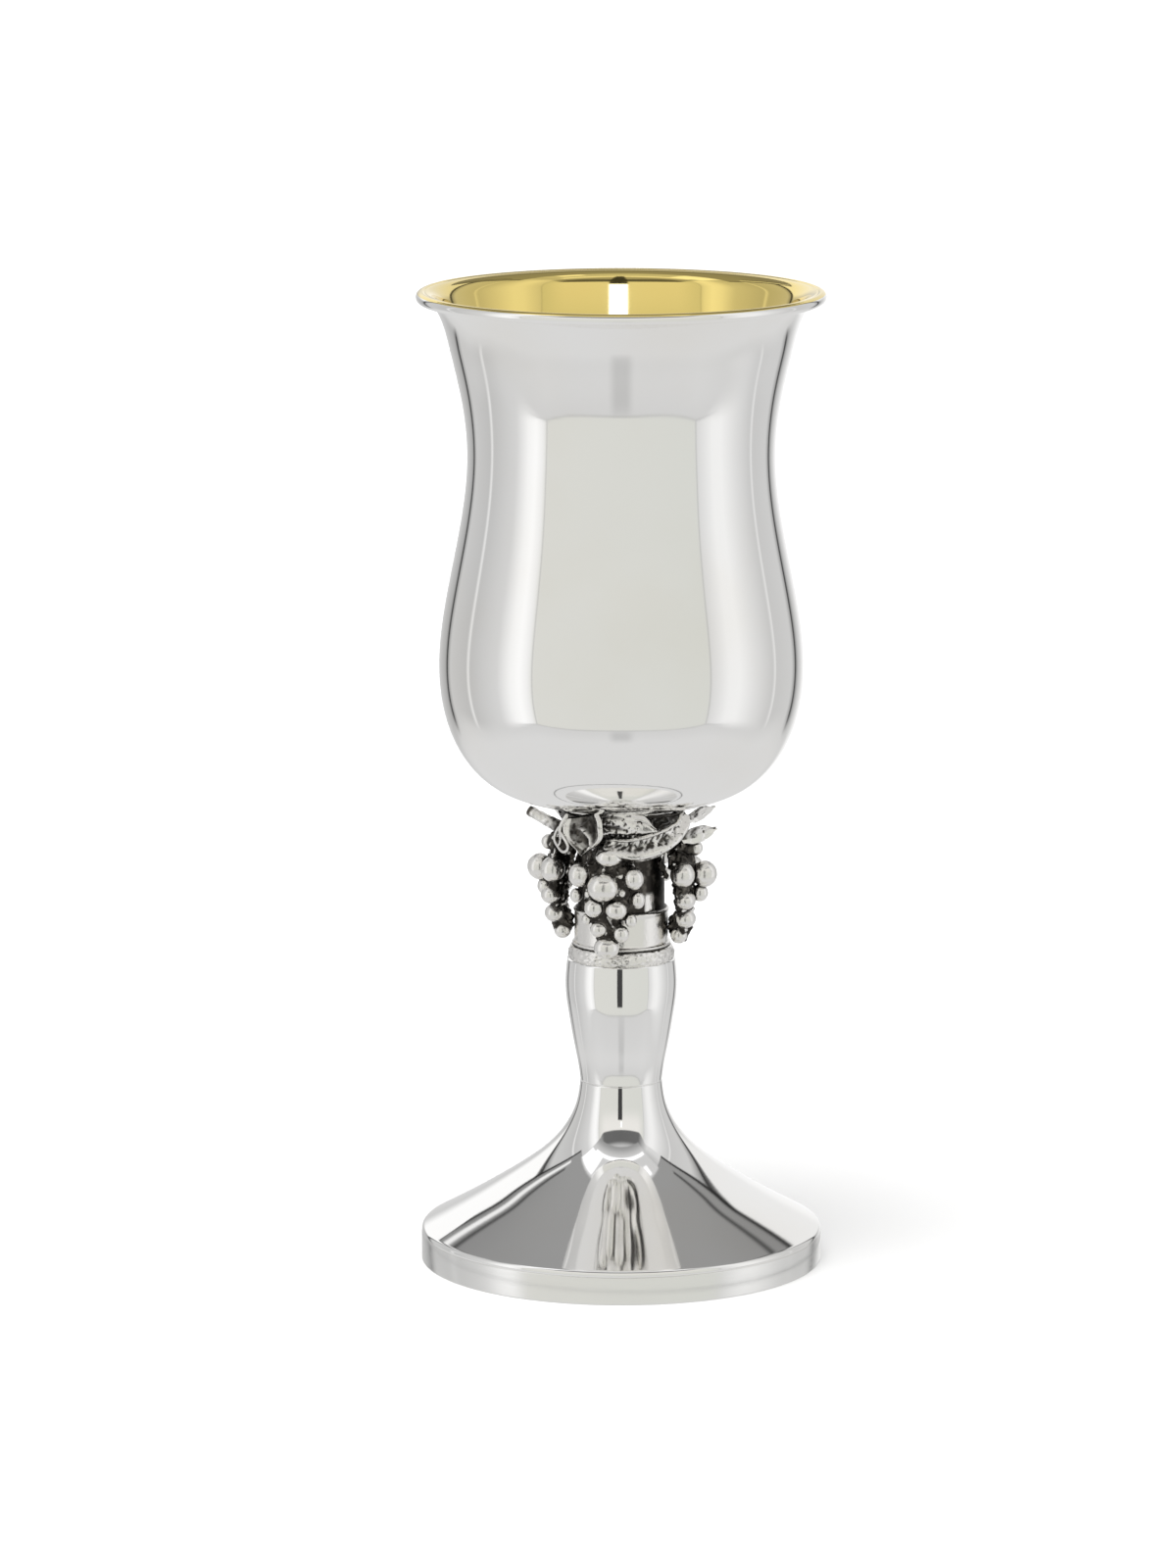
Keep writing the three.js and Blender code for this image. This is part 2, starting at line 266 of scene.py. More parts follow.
def spline(points, count):
    """A natural cubic spline through a few points, at count places along it."""
    points = np.array(points, float)
    steps = np.linalg.norm(np.diff(points, axis=0), axis=1)
    knots = np.concatenate([[0], np.cumsum(steps)])
    gaps = np.diff(knots)
    size = len(points)
    matrix = np.eye(size)
    target = np.zeros(points.shape)
    for i in range(1, size - 1):
        matrix[i, i - 1:i + 2] = gaps[i - 1], 2 * (gaps[i - 1] + gaps[i]), gaps[i]
        rise = (points[i + 1] - points[i]) / gaps[i] - (points[i] - points[i - 1]) / gaps[i - 1]
        target[i] = 6 * rise
    bend = np.linalg.solve(matrix, target)
    places = np.linspace(0, knots[-1], count)
    piece = np.clip(np.searchsorted(knots, places, side="right") - 1, 0, size - 2)
    gap = gaps[piece][:, None]
    after = (knots[piece + 1] - places)[:, None]
    before = (places - knots[piece])[:, None]
    cubic = (bend[piece] * after**3 + bend[piece + 1] * before**3) / (6 * gap)
    start = (points[piece] / gap - bend[piece] * gap / 6) * after
    end = (points[piece + 1] / gap - bend[piece + 1] * gap / 6) * before
    return cubic + start + end


def offset(outline, distance):
    """The outline moved to its left by a distance."""
    outline = np.array(outline, float)
    along = np.gradient(outline, axis=0)
    along /= np.linalg.norm(along, axis=1)[:, None]
    return outline + distance * np.column_stack([-along[:, 1], along[:, 0]])


def arc(centre, radius, start, end, steps):
    """Points on a circle from one angle to another, in degrees."""
    angles = np.radians(np.linspace(start, end, steps))
    return np.array(centre) + radius * np.column_stack([np.cos(angles), np.sin(angles)])


def softened(corners, radius, steps=5):
    """A polygon of (radius, height) corners, each rounded by an arc."""
    corners = [np.array(c, float) for c in corners]
    made = []
    for i, here in enumerate(corners):
        back = corners[i - 1] - here
        on = corners[(i + 1) % len(corners)] - here
        back /= np.linalg.norm(back)
        on /= np.linalg.norm(on)
        for t in np.linspace(0, 1, steps):
            made.append(here + radius * (back * (1 - t) ** 2 + on * t**2))
    return made


def new_object(name, points, faces, materials):
    mesh = bpy.data.meshes.new(name)
    mesh.from_pydata([tuple(p) for p in points], [], faces)
    for material in materials:
        mesh.materials.append(material)
    mesh.polygons.foreach_set("use_smooth", [True] * len(mesh.polygons))
    mesh.update()
    made = bpy.data.objects.new(name, mesh)
    bpy.context.scene.collection.objects.link(made)
    return made


def turned(name, outline, materials, facets=ROUND, choose=None):
    """A closed outline of (radius, height) in mm, turned round the axis.

    An outline whose ends are on the axis stays open there, and any other closes on itself.
    choose gives a face's material from the middle of its outline step.
    """
    outline = [tuple(p) for p in outline]
    on_axis = outline[0][0] == 0
    points = []
    rings = []
    angles = 2 * np.pi * np.arange(facets) / facets
    for radius, height in outline:
        if radius == 0:
            rings.append([len(points)])
            points.append((0, 0, height * MM))
            continue
        rings.append(list(range(len(points), len(points) + facets)))
        for angle in angles:
            points.append((radius * np.sin(angle) * MM, -radius * np.cos(angle) * MM, height * MM))
    faces = []
    slots = []
    steps = len(rings) - 1 if on_axis else len(rings)
    for i in range(steps):
        low, high = rings[i], rings[(i + 1) % len(rings)]
        first, second = outline[i], outline[(i + 1) % len(outline)]
        middle = ((first[0] + second[0]) / 2, (first[1] + second[1]) / 2)
        slot = choose(middle) if choose else 0
        for j in range(facets):
            k = (j + 1) % facets
            if len(low) == 1:
                face = (low[0], high[k], high[j])
            elif len(high) == 1:
                face = (low[j], low[k], high[0])
            else:
                face = (low[j], low[k], high[k], high[j])
            faces.append(face)
            slots.append(slot)
    made = new_object(name, points, faces, materials)
    made.data.polygons.foreach_set("material_index", slots)
    return made


def shown_as(piece, slot, *nodes):
    """Rides the piece on the chalice in place of CAD nodes."""
    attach(piece, "root")
    if nodes:
        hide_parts(*nodes)


def size_of(node):
    """A CAD node's outer radius, lowest height and highest height, in mm."""
    low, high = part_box(node)
    return high.x / MM, low.z / MM, high.z / MM


# ---- Bowl ----------------------------------------------------------------------------------

BOWL_WALL = 1.0
BOWL_SIDE = [
    (18, 91.35), (24.5, 93.9), (30.3, 99.45), (34.3, 108.9), (35.18, 118.2), (33.7, 130.9),
    (30.9, 145.4), (29.62, 158.4), (30.7, 169.2), (32.9, 178.9), (35.2, 186),
]
# The gilt wall runs on straight from this height, then rolls out to the top of the wire.
WALL_TOP = 183
LIP_INSIDE = [
    (34.35, 187.1), (34.75, 188), (35.35, 188.8), (36.1, 189.4), (37, 189.75), (37.9, 189.85),
]


def bowl(silver, gold):
    _, bottom, _ = size_of("cup_bowl")
    bead_radius, bead_bottom, bead_top = size_of("rim_bead")
    wire = (bead_top - bead_bottom) / 2
    wire_middle = (bead_radius - wire, bead_top - wire)
    side = spline([(11, bottom), *BOWL_SIDE, (36.1, 187.3), (37.35, 188.15)], 190)
    wall = offset(side, BOWL_WALL)
    wall = wall[wall[:, 1] < WALL_TOP]
    lip = spline([wall[-9], wall[-5], wall[-1], *LIP_INSIDE], 60)
    inside = np.concatenate([wall[:-9], lip])[::-1]
    under_wire = (wire_middle[0] - 0.3, wire_middle[1])
    outline = [(0, bottom), *side, under_wire, *inside, (0, bottom + BOWL_WALL)]
    is_inside = set()
    for first, second in zip(inside, inside[1:]):
        is_inside.add(((first[0] + second[0]) / 2, (first[1] + second[1]) / 2))

    def choose(middle):
        return 1 if middle in is_inside or middle[0] < 10 and middle[1] > bottom + 0.5 else 0

    made = turned("bowl", outline, [silver, gold], choose=choose)
    shown_as(made, "silver_polished", "cup_bowl")
    section = arc(wire_middle, wire, -90, 270, 29)[:-1]
    bead = turned(
        "lip_bead", section, [silver, gold],
        choose=lambda middle: 1 if middle[1] - wire_middle[1] > 0.75 * (middle[0] - wire_middle[0])
        else 0,
    )
    shown_as(bead, "silver_polished", "rim_bead")


# ---- Stem and foot -------------------------------------------------------------------------

STEM_SIDE = [(8.45, 39), (9.1, 42.3), (9.72, 45.7), (10.3, 49.2), (10.72, 52.2), (10.86, 55.2)]
FOOT_FLANK = [
    (36.5, 7.75), (33, 9.7), (28.3, 12.45), (24.3, 14.95), (19.5, 18.1), (16.5, 20.3), (13.5, 23),
    (11, 26.1), (8.7, 31),
]
SHOULDER = 0.9  # the round edge between the flank and the band
SHEET = 0.9
HOLE_RADIUS = 2.3  # round the tie rod


def stem(silver):
    _, waist, top = size_of("stem")
    side = spline([(7.96, waist), *STEM_SIDE, (10.5, top)], 80)
    inside = offset(side, SHEET)[::-1]
    outline = [
        *side, (HOLE_RADIUS, top), (HOLE_RADIUS, top - SHEET), (9.5, top - SHEET), *inside[6:],
    ]
    shown_as(turned("baluster_stem", outline, [silver], 128), "silver_polished", "stem")


def foot(silver, brushed):
    _, bottom, waist = size_of("foot")
    edge = size_of("foot_band")[0]
    shoulder = arc((edge - 0.05 - SHOULDER, bottom + 0.45), SHOULDER, 0, 58, 8)
    flank = spline([shoulder[-1], *FOOT_FLANK, (7.98, waist)], 160)
    side = np.concatenate([[(edge - 0.05, bottom)], shoulder, flank[1:]])
    inside = offset(side, SHEET)[::-1]
    outline = [
        *side, (HOLE_RADIUS, waist), (HOLE_RADIUS, waist - SHEET), (7, waist - SHEET),
        *inside[6:-1], (edge - 1, bottom),
    ]
    shown_as(turned("trumpet_foot", outline, [silver]), "silver_polished", "foot")
    corners = [(edge - SHEET, 0), (edge, 0), (edge, bottom), (edge - SHEET, bottom)]
    band = turned("foot_edge_band", softened(corners, 0.22), [brushed])
    shown_as(band, "silver_polished", "foot_band")


# ---- Cast pieces: leaves, rods and bunches ---------------------------------------------------


def place(azimuth, height, out):
    """A point in mm from its azimuth, its height and its distance from the axis."""
    turn = math.radians(azimuth)
    return (out * math.sin(turn), -out * math.cos(turn), height)


def lumps(points, size, seed=0):
    """Smooth noise from about -1 to 1 at each point, with lumps of this size in mm."""
    shift = Vector((seed * 17.3, seed * 5.1, seed * 9.7))
    return np.array([noise.noise(Vector(p) / size + shift) for p in points])


def unit(vectors):
    return vectors / np.linalg.norm(vectors, axis=-1, keepdims=True)


def outward(points):
    """The horizontal direction away from the axis at each point."""
    flat = np.array(points, float)
    flat[..., 2] = 0
    return unit(flat)


def loft(rings):
    """Points and faces of a closed body through rings of points, capped at both ends."""
    rings = np.array(rings)
    count, sides = rings.shape[:2]
    points = list(rings.reshape(-1, 3))
    faces = []
    for i in range(count - 1):
        for j in range(sides):
            k = (j + 1) % sides
            faces.append((i * sides + j, i * sides + k, (i + 1) * sides + k, (i + 1) * sides + j))
    last = (count - 1) * sides
    points += [rings[0].mean(axis=0), rings[-1].mean(axis=0)]
    for j in range(sides):
        k = (j + 1) % sides
        faces.append((k, j, len(points) - 2))
        faces.append((last + j, last + k, len(points) - 1))
    return points, faces


def rod(path, radii, bark=0.0, sides=16, steps=48, seed=0, blunt=0.35):
    """A round bar through places, with a radius at each, rough as bark says.

    blunt goes from 0.35 for round ends to 3 for ends cut square.
    """
    middle = spline([place(*p) for p in path], steps)
    along = unit(np.gradient(middle, axis=0))
    first = unit(np.cross(along, [0.0, 0.0, 1.0]))
    second = np.cross(first, along)
    radius = np.interp(np.linspace(0, 1, steps), np.linspace(0, 1, len(radii)), radii)
    ends = np.minimum(np.arange(steps), np.arange(steps)[::-1])
    radius = radius * np.sqrt(np.clip((ends + blunt) / 3, 0, 1))
    angles = 2 * np.pi * np.arange(sides) / sides
    spokes = first[:, None] * np.cos(angles)[:, None] + second[:, None] * np.sin(angles)[:, None]
    rings = middle[:, None] + spokes * radius[:, None, None]
    if bark:
        bumps = lumps(rings.reshape(-1, 3), 0.7, seed).reshape(steps, sides, 1)
        rings = rings + spokes * bumps * bark
    points, faces = loft(rings)
    return np.array(points), faces


def sheet(path, shape, thickness, steps=84, sides=72):
    """A leaf: a thin body along a path of places, and how dark each of its points is.

    shape takes how far along (0 to 1) and how far across (-1 to 1, to the right as one looks
    from the root to the tip from outside). It gives the point's shift across and out, in mm,
    and how much of the dark finish it keeps.
    """
    middle = spline([place(*p) for p in path], steps)
    along = unit(np.gradient(middle, axis=0))
    out = outward(middle)
    across = unit(np.cross(along, out))
    u = np.linspace(0, 1, steps)[:, None]
    angles = 2 * np.pi * np.arange(sides) / sides
    v = -np.cos(angles)[None, :] * np.ones_like(u)
    shift_across, shift_out, dark = shape(u * np.ones_like(v), v)
    face = np.sign(np.sin(angles)) * np.abs(np.sin(angles)) ** 0.6
    ends = np.clip(np.minimum(u, 1 - u) / 0.04, 0.15, 1)
    shift_out = shift_out + thickness / 2 * face[None, :] * np.sqrt(ends)
    rings = middle[:, None] + across[:, None] * shift_across[..., None]
    rings = rings + out[:, None] * shift_out[..., None]
    points, faces = loft(rings)
    dark = np.where(np.sin(angles) < -0.05, 0.9, dark)
    return np.array(points), faces, np.append(dark.ravel(), [dark[0].mean(), dark[-1].mean()])


def ridge(where, middle, width):
    """1 on a line and 0 away from it."""
    return np.exp(-(((where - middle) / width) ** 2))


def rise(value, low, high):
    """0 below low, 1 above high and smooth between."""
    t = np.clip((value - low) / (high - low), 0, 1)
    return t * t * (3 - 2 * t)


def grain(u, v, along, across, seed):
    """Smooth noise over a leaf, with this many lumps along and across it."""
    places = np.column_stack([np.ravel(u) * along, np.ravel(v) * across, np.zeros(u.size)])
    return lumps(places, 1.0, seed).reshape(u.shape)


def hanging_leaf(u, v):
    """A leaf that hangs from the bowl, folded into a hollow between two bright rims."""
    half = 4.5 * (0.86 + 0.14 * rise(u, 0, 0.25)) * (1 - rise(u, 0.5, 1.06) * 0.97)
    hollow = 1.7 * v**2 - 0.5 * rise(np.abs(v), 0.88, 1.0)
    rims = 0.4 * ridge(np.abs(v), 0.84, 0.11)
    vein_place = 0.62 - 1.45 * u
    vein = 0.6 * ridge(v, vein_place, 0.13) * rise(u, 0.25, 0.4)
    fold = -0.5 * ridge(v, -0.35, 0.25) * ridge(u, 0.42, 0.16)
    dark = 0.75 - rise(np.abs(v), 0.62, 0.76)
    dark = dark - 0.7 * ridge(v, vein_place, 0.14) * rise(u, 0.25, 0.4)
    dark = dark - 0.25 * rise(u, 0.62, 0.85) - 0.35 * grain(u, v, 3, 1.5, 2)
    return half * v, hollow + rims + vein + fold, dark


def feather_leaf(u, v):
    """A leaf that runs round to the right, with two grooves that fade, and a tongue below."""
    half = 2.3 * (0.85 + 0.15 * rise(u, 0, 0.2)) * (1 - 0.78 * rise(u, 0.76, 1.02))
    centre = 0.45 * rise(u, 0.74, 1.0)
    fading = 1 - rise(u, 0.28, 0.62)
    grooves = (ridge(v, 0.12 + 0.5 * u, 0.2) + 0.7 * ridge(v, -0.6, 0.15)) * fading
    swell = 0.7 * (1 - v**2) * rise(u, 0.1, 0.7)
    step = ridge(v, -0.42, 0.1) * rise(u, 0.35, 0.7)
    teeth = rise(v, 0.72, 0.86) * (0.5 + 0.5 * np.sin(70 * u)) * rise(u, 0.1, 0.25)
    dark = 0.8 * grooves + 0.25 * fading + 0.5 * step + 0.9 * teeth - 0.1
    return half * v + centre, swell - 0.4 * grooves - 0.3 * step - 0.3 * teeth, dark


def sickle_leaf(u, v):
    """A curved leaf with a smooth rolled outer edge and a dark pitted inside."""
    half = 1.55 + 0.9 * np.sin(np.pi * np.clip(u * 1.12, 0, 1)) ** 1.3
    half = half * (1 - 0.45 * rise(u, 0.9, 1.0)) * (0.6 + 0.4 * rise(u, 0, 0.08))
    inside = 1 - rise(v, -0.1, 0.35) - rise(u, 0.62, 0.9)
    roll = 1.3 * rise(v, -0.3, 0.5) - 1.0 * rise(v, 0.62, 1.0)
    inner_rim = ridge(v, -0.86, 0.13)
    ribs = np.clip(2.4 * grain(u + 0.08 * v, v, 44, 3, 5), -1, 1)
    dark = np.clip(inside, 0, 1) * (0.55 - 0.6 * ribs) - inner_rim
    return half * v, roll + 0.5 * inner_rim + 0.1 * ribs * (1 - rise(v, -0.1, 0.35)), dark


def side_leaf(u, v):
    """A narrow leaf that points away from the chalice, folded along its midrib."""
    half = 1.75 * (0.55 + 0.45 * rise(u, 0, 0.3)) * (1 - 0.8 * rise(u, 0.55, 1.0))
    folded = 0.9 * np.abs(v) ** 1.4
    veins = np.clip(2 * grain(u, np.abs(v), 6, 1.2, 9), -1, 1)
    dark = 0.4 - 0.4 * veins - 1.2 * rise(v, 0.3, 0.6) - 0.5 * rise(u, 0.6, 0.9)
    return half * v, folded + 0.16 * veins, dark


def half_turned(path):
    return [(azimuth + 180, height, out) for azimuth, height, out in path]


HANGING_PATH = [(-33, 90.0, 12.6), (-31, 87.9, 13.3), (-29.5, 85.4, 13.7), (-29.5, 82.5, 13.9)]
FEATHER_PATH = [(-21, 88.2, 12.2), (0, 88.3, 12.6), (13, 88.1, 13.3), (27, 87.7, 14.6)]
SICKLE_PATH = [
    (-14, 84.6, 13.0), (4, 83.7, 14.1), (25, 84.6, 15), (39, 86, 15.1), (51, 87.8, 14.6),
    (59, 89.5, 13.8),
]
SICKLE_BAR = [(66, 89.2, 13.5), (43, 89.7, 13.9), (20, 90.0, 13.9)]
LOWER_PATH = [(63, 84.2, 12.3), (70, 84.8, 14.2), (77, 85.3, 16.2), (81, 85.9, 18)]
UPPER_PATH = [(84, 87.2, 12.2), (89, 87.9, 14), (93, 88.6, 15.9), (95, 89.3, 17.6)]
LEAVES = {
    "leaf_front_left": (HANGING_PATH, hanging_leaf, 0.7),
    "leaf_front_centre": (FEATHER_PATH, feather_leaf, 0.8),
    "leaf_front_right": (SICKLE_PATH, sickle_leaf, 0.7),
    "leaf_right_lower": (LOWER_PATH, side_leaf, 0.55),
    "leaf_right_upper": (UPPER_PATH, side_leaf, 0.5),
    "leaf_back_right": (half_turned(HANGING_PATH), hanging_leaf, 0.7),
    "leaf_back_centre": (half_turned(FEATHER_PATH), feather_leaf, 0.8),
    "leaf_back_left": (half_turned(SICKLE_PATH), sickle_leaf, 0.7),
}


def leaves(material):
    """Each leaf, and how dark its points are."""
    made = {}
    for seed, (node, (path, shape, thickness)) in enumerate(LEAVES.items()):
        points, faces, dark = sheet(path, shape, thickness)
        pits = rise(-lumps(points, 0.55, seed), 0.28, 0.6)
        uneven = lumps(points, 2.2, seed + 3) * 0.12
        points = points + outward(points) * (uneven - 0.2 * pits)[:, None]
        dark = dark + 0.8 * pits
        if shape is sickle_leaf:
            bar = rod(half_turned(SICKLE_BAR) if "back" in node else SICKLE_BAR, [0.3, 0.28])
            points, faces = joined([(points, faces), bar])
            dark = np.append(dark, np.full(len(bar[0]), -0.3))
        piece = new_object("fine_" + node, points * MM, faces, [material])
        shown_as(piece, "silver_oxidised", node)
        made[piece] = dark
    return made


TWIG_PATH = [(-80, 85.5, 11.2), (-88, 86.2, 13.0), (-93, 87.2, 15.4), (-96, 88.5, 18.1)]
LOOP_PATH = [
    (-45, 90.0, 14.4), (-48, 88.3, 15.2), (-49, 86.9, 15.6), (-42, 85.5, 16.3), (-39, 84.0, 16.3),
    (-44, 82.8, 15.8), (-54, 83.5, 15.2), (-59, 84.6, 15.0), (-58, 85.9, 14.9), (-52, 87.6, 14.8),
]
INNER_LOOP_PATH = [(-47, 88.4, 15.2), (-49, 86.6, 15.6), (-47.5, 85.0, 15.9), (-54, 83.4, 15.3)]


def joined(bodies):
    """Several closed bodies as one list of points and faces."""
    points = []
    faces = []
    for body_points, body_faces in bodies:
        faces += [tuple(i + len(points) for i in face) for face in body_faces]
        points += list(body_points)
    return np.array(points), faces


def twig_and_tendrils(material):
    """The cut twig and the wire-like tendrils, and how dark their points are."""
    made = {}
    points, faces = rod(TWIG_PATH, [1.3, 1.2, 1.05, 1.0], 0.12, 24, 60, blunt=2.2)
    reach = np.hypot(points[:, 0], points[:, 1])
    dark = 0.75 - 0.65 * rise(reach, 12.5, 15.5) + 0.4 * lumps(points, 0.8, 3)
    piece = new_object("fine_vine_twig", points * MM, faces, [material])
    made[piece] = dark
    for node, path in (("tendril_left", list), ("tendril_right", half_turned)):
        points, faces = joined([
            rod(path(LOOP_PATH), [0.5, 0.42, 0.3, 0.28, 0.3, 0.24], sides=12, steps=110),
            rod(path(INNER_LOOP_PATH), [0.3, 0.26, 0.24, 0.2], sides=12, steps=40),
        ])
        piece = new_object("fine_" + node, points * MM, faces, [material])
        made[piece] = np.full(len(points), -0.3)
    for piece in made:
        shown_as(piece, "silver_oxidised", piece.name.removeprefix("fine_"))
    return made


# A grape is (across, height, out, half width, half height), with across to the right as one
# faces the bunch.
FRONT_GRAPES = [
    (0.7, 82.1, 13.6, 2.65, 2.0), (-5.2, 78.3, 13.0, 2.2, 2.4), (5.5, 78.0, 13.0, 1.95, 2.2),
    (-0.2, 76.4, 14.6, 3.1, 2.85), (-6.1, 74.1, 12.2, 1.2, 1.4), (6.1, 73.7, 12.0, 1.4, 1.7),
    (-2.2, 72.1, 13.8, 1.9, 1.9), (2.2, 71.9, 13.9, 2.15, 1.95), (4.8, 69.7, 12.6, 1.15, 1.35),
    (-1.4, 67.8, 13.0, 1.75, 1.6), (2.9, 67.0, 12.8, 1.6, 1.7), (0.1, 64.2, 13.0, 2.5, 2.15),
    (-3.9, 69.6, 12.6, 1.0, 1.1), (3.2, 75.2, 13.4, 0.8, 0.9), (-3.4, 74.7, 13.4, 0.8, 0.8),
]
SIDE_GRAPES = [
    (0.5, 81.9, 14.6, 1.4, 1.5), (-3.3, 77.2, 12.9, 2.3, 2.5), (0.6, 76.9, 16.4, 2.3, 2.6),
    (4.2, 77.6, 13.1, 2.1, 2.2), (1.0, 73.0, 15.4, 1.5, 1.7), (-2.7, 72.1, 13.4, 2.1, 1.8),
    (4.4, 72.9, 12.4, 1.6, 1.6), (-1.0, 68.2, 13.0, 2.1, 1.9), (2.6, 68.6, 12.4, 1.4, 1.4),
    (-0.6, 64.8, 11.6, 1.6, 1.7),
]
MIRRORED_GRAPES = [(-across, *rest) for across, *rest in SIDE_GRAPES]
BUNCHES = {
    "grapes_front": (-13, FRONT_GRAPES),
    "grapes_right": (77, SIDE_GRAPES),
    "grapes_back": (167, FRONT_GRAPES),
    "grapes_left": (-103, MIRRORED_GRAPES),
}
STALK = [(0, 62.9), (1.3, 63.6), (2.2, 66.6), (3.5, 70), (4.5, 74), (4.8, 78), (3, 81.6), (0, 83.4)]
STALK_OUT = 12.5
STALK_FLATNESS = 0.4
# Lumps that join each stalk to the neck and to the drum, given as the grapes are.
JOINTS = [(0, 81.9, 11.9, 2.9, 2.6), (0.4, 66.6, 11.6, 1.6, 3.0), (-2.4, 79.6, 11.8, 1.6, 2.4)]
# A vine strand beside each bunch, from the collar down the neck, as azimuths from the bunch.
STRAND = [(-15, 85.2, 11.4), (-21, 82.4, 10.2), (-24, 79.4, 9.7), (-20, 76.4, 10.6)]
VOXEL = 0.17


def ball(centre, radii, columns=24, rows=14):
    """A closed ellipsoid's points and faces."""
    tilt = np.pi * np.arange(1, rows) / rows
    turn = 2 * np.pi * np.arange(columns) / columns
    level = np.sin(tilt)[:, None]
    shell = np.stack([
        level * np.cos(turn), level * np.sin(turn), np.cos(tilt)[:, None] * np.ones(columns),
    ], axis=-1)
    points, faces = loft(shell[::-1])
    points = np.array(points)
    points[-2:] = (0, 0, -1), (0, 0, 1)
    return np.array(centre) + points * np.array(radii), faces


def remeshed(points, faces, voxel):
    """One even skin round overlapping bodies."""
    body = new_object("skin", points, faces, [])
    body.modifiers.new("skin", "REMESH").voxel_size = voxel
    skinned = body.evaluated_get(bpy.context.evaluated_depsgraph_get())
    mesh = bpy.data.meshes.new_from_object(skinned)
    bpy.data.objects.remove(body)
    points = np.empty(len(mesh.vertices) * 3)
    mesh.vertices.foreach_get("co", points)
    faces = [tuple(f.vertices) for f in mesh.polygons]
    bpy.data.meshes.remove(mesh)
    return points.reshape(-1, 3), faces


def bunch(node, azimuth, grapes, material, seed):
    """A bunch in one casting: true balls where a grape shows, and a rough dark stalk behind."""
    turn = 2 * np.pi * np.arange(20) / 20
    rings = []
    for radius, height in spline(STALK, 20)[1:-1]:
        out = -STALK_OUT - radius * STALK_FLATNESS * np.cos(turn)
        rings.append(np.column_stack([radius * np.sin(turn), out, np.full(20, height)]))
    bodies = [loft(rings)]
    for side in (-1, 1):
        strand = [(side * turn_away, height, out) for turn_away, height, out in STRAND]
        bodies.append(rod(strand, [0.7, 0.55, 0.5, 0.6], 0.2, seed=seed))
    for across, height, out, wide, tall in JOINTS + grapes:
        bodies.append(ball((across, -out, height), (wide, (wide + tall) / 2, tall)))
    points, faces = remeshed(*joined(bodies), VOXEL)

    depth = np.full(len(points), np.inf)
    owner = np.full(len(points), -1)
    snapped = points.copy()
    for i, (across, height, out, wide, tall) in enumerate(grapes):
        centre = np.array((across, -out, height))
        radii = np.array((wide, (wide + tall) / 2, tall))
        scaled = np.linalg.norm((points - centre) / radii, axis=1)
        gap = np.abs(scaled - 1) * radii.mean()
        nearer = gap < depth
        depth = np.where(nearer, gap, depth)
        owner = np.where(nearer, i, owner)
        target = centre + (points - centre) / scaled[:, None]
        snapped = np.where(nearer[:, None], target, snapped)
    owner = np.where(depth < 0.8 * VOXEL, owner, -1)
    on_grape = owner >= 0
    bark = lumps(points, 0.8, seed) * 0.75 + lumps(points, 2.0, seed + 9) * 0.55
    sideways = points - np.array((0, -STALK_OUT + 1.0, 0))
    sideways[:, 2] = 0
    away = rise(depth, 0.8 * VOXEL, 4 * VOXEL) * ~on_grape
    points = np.where(on_grape[:, None], snapped, points + unit(sideways) * (bark * away)[:, None])
    dents = lumps(points, 2.6, seed + 5) * 0.06
    points = points + unit(points - np.array((0, -STALK_OUT, 72))) * dents[:, None]
    dark = np.where(on_grape, crease_dark(points, owner), 1.0 - 1.1 * rise(bark, 0.24, 0.5))

    angle = math.radians(azimuth)
    x, y, z = points.T
    turned_points = np.column_stack([
        x * math.cos(angle) - y * math.sin(angle), x * math.sin(angle) + y * math.cos(angle), z,
    ])
    piece = new_object("fine_" + node, turned_points * MM, faces, [material])
    shown_as(piece, "silver_oxidised", node)
    return piece, dark


def crease_dark(points, owner, width=0.45):
    """Dark beside the crease where a grape meets the stalk or another grape."""
    dark = np.zeros(len(points))
    for grape in range(owner.max() + 1):
        mine = np.flatnonzero(owner == grape)
        others = points[owner != grape]
        near = others[np.linalg.norm(others - points[mine].mean(axis=0), axis=1) < 5]
        tree = KDTree(len(near))
        for i, point in enumerate(near):
            tree.insert(point, i)
        tree.balance()
        for i in mine:
            dark[i] = 1 - tree.find(points[i])[2] / width
    return np.clip(dark, 0, 1) * 1.2 + lumps(points, 0.5, 1) * 0.1 + 0.08


# ---- Knot's turned pieces --------------------------------------------------------------------

CORE_STEPS = [
    (9.55, 62.5), (9.55, 63), (9.1, 63.35), (9.1, 69.1), (9.28, 69.4), (9.28, 69.6), (9.05, 69.8),
    (8.4, 70.2), (8.4, 89.4),
]
CORE_BORE = 7.3
SOCKET_HOLE = 4.3


def refined(corners, longest):
    """The same outline with its long stretches cut into short ones."""
    made = [corners[0]]
    for here, on in zip(corners, corners[1:]):
        pieces = max(1, math.ceil(math.dist(here, on) / longest))
        for i in range(1, pieces + 1):
            t = i / pieces
            made.append((here[0] + (on[0] - here[0]) * t, here[1] + (on[1] - here[1]) * t))
    return made


def roughened(piece, depth, size, seed, stretch=1.0):
    """Moves a turned piece's skin in and out."""
    points = mesh_points(piece) / MM
    inner = np.hypot(points[:, 0], points[:, 1])
    squeezed = points * np.array((1, 1, stretch))
    bumps = lumps(squeezed, size, seed) * depth * rise(inner, inner.min() + 0.5, inner.max() - 0.4)
    set_points(piece, (points + outward(points) * bumps[:, None]) * MM)


def mesh_points(piece):
    points = np.empty(len(piece.data.vertices) * 3)
    piece.data.vertices.foreach_get("co", points)
    return points.reshape(-1, 3)


def set_points(piece, points):
    piece.data.vertices.foreach_set("co", np.ravel(points))
    piece.data.update()


